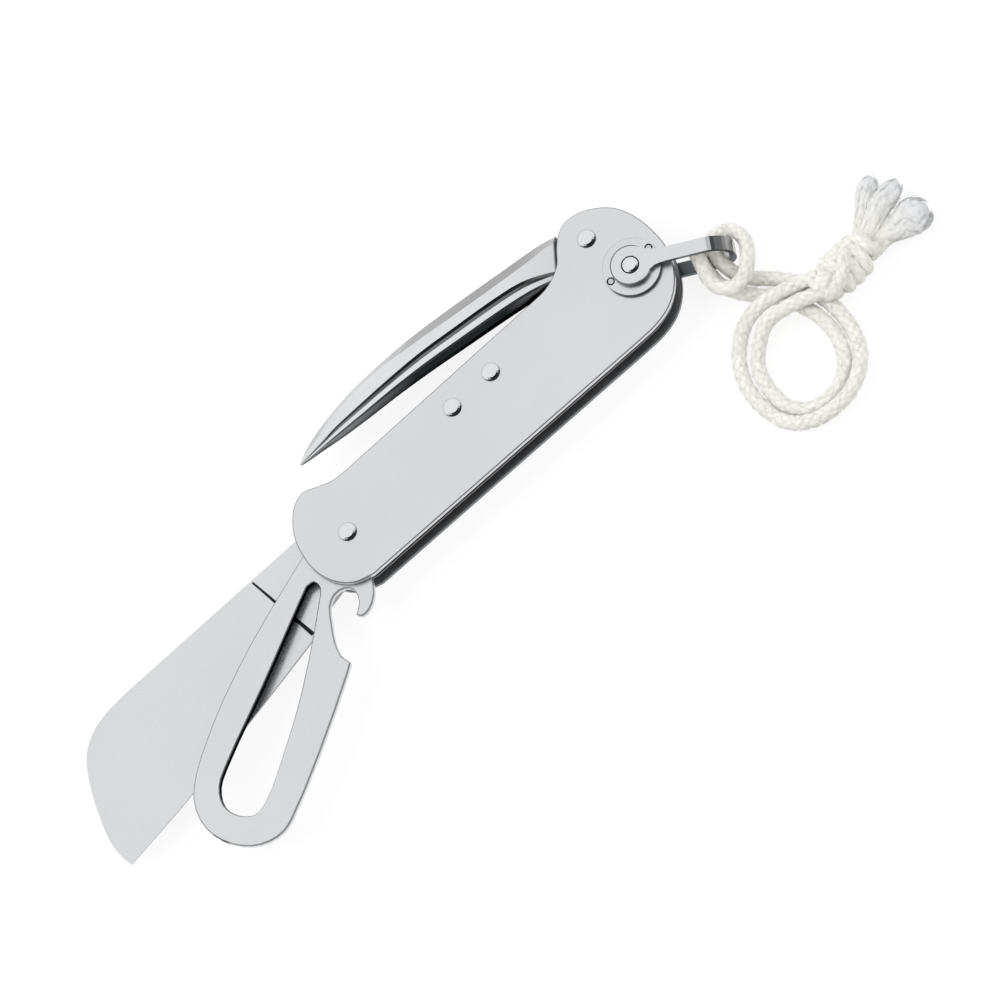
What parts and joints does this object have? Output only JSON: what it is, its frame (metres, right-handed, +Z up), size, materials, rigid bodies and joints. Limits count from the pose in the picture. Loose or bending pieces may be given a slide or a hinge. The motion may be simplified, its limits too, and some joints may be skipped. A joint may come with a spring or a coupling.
{
  "type": "rigging knife",
  "caption": "Open sailor's rigging knife: sheepsfoot blade, slotted shackle key, curved marlinspike, strap bail and a knotted braided lanyard.",
  "frame": {"origin": "centre of the knife's own box, without the lanyard, on the surface that it lies on", "axes": "+X along the handle from the blade pivot to the bail; +Y towards the marlinspike; +Z up, out of the front plate"},
  "size_m": [0.2334, 0.0821, 0.0139],
  "materials": {
    "satin_steel": "satin",
    "polished_steel": "polished",
    "spring_steel": "satin",
    "cord_white": "matte braid"
  },
  "bodies": {
    "handle": {"front_plate": "satin_steel", "back_plate": "satin_steel", "centre_liner": "satin_steel", "blade_spring": "spring_steel", "key_spring": "spring_steel", "blade_pivot_pin": "polished_steel", "spike_pivot_pin": "polished_steel", "spring_pin_lower": "polished_steel", "spring_pin_upper": "polished_steel", "front_bail_disc": "satin_steel", "back_bail_disc": "satin_steel", "front_disc_stake_1": "satin_steel", "front_disc_stake_2": "satin_steel", "back_disc_stake_1": "satin_steel", "back_disc_stake_2": "satin_steel"},
    "blade": {"sheepsfoot_blade": "satin_steel"},
    "key": {"shackle_key": "satin_steel"},
    "spike": {"marlinspike": "polished_steel"},
    "bail": {"bail": "polished_steel", "bail_cam_shaft": "polished_steel", "lanyard_strand_1": "cord_white", "lanyard_strand_2": "cord_white", "lanyard_knot": "cord_white", "lanyard_tuft_1": "cord_white", "lanyard_tuft_2": "cord_white", "lanyard_tuft_3": "cord_white"}
  },
  "joints": [
    {"name": "blade_hinge", "type": "hinge", "parent": "handle", "child": "blade", "pos_m": [-0.01098, 0.00805, 0.00525], "axis": [0, 0, 1], "range_deg": [0, 160]},
    {"name": "key_hinge", "type": "hinge", "parent": "handle", "child": "key", "pos_m": [-0.01098, 0.00805, 0.0082], "axis": [0, 0, 1], "range_deg": [0, 133]},
    {"name": "spike_hinge", "type": "hinge", "parent": "handle", "child": "spike", "pos_m": [0.07343, 0.02255, 0.00675], "axis": [0, 0, 1], "range_deg": [-165, 6]},
    {"name": "bail_hinge", "type": "hinge", "parent": "handle", "child": "bail", "pos_m": [0.07662, 0.00965, 0.00675], "axis": [0, 0, 1], "range_deg": [-6, 24]}
  ]
}
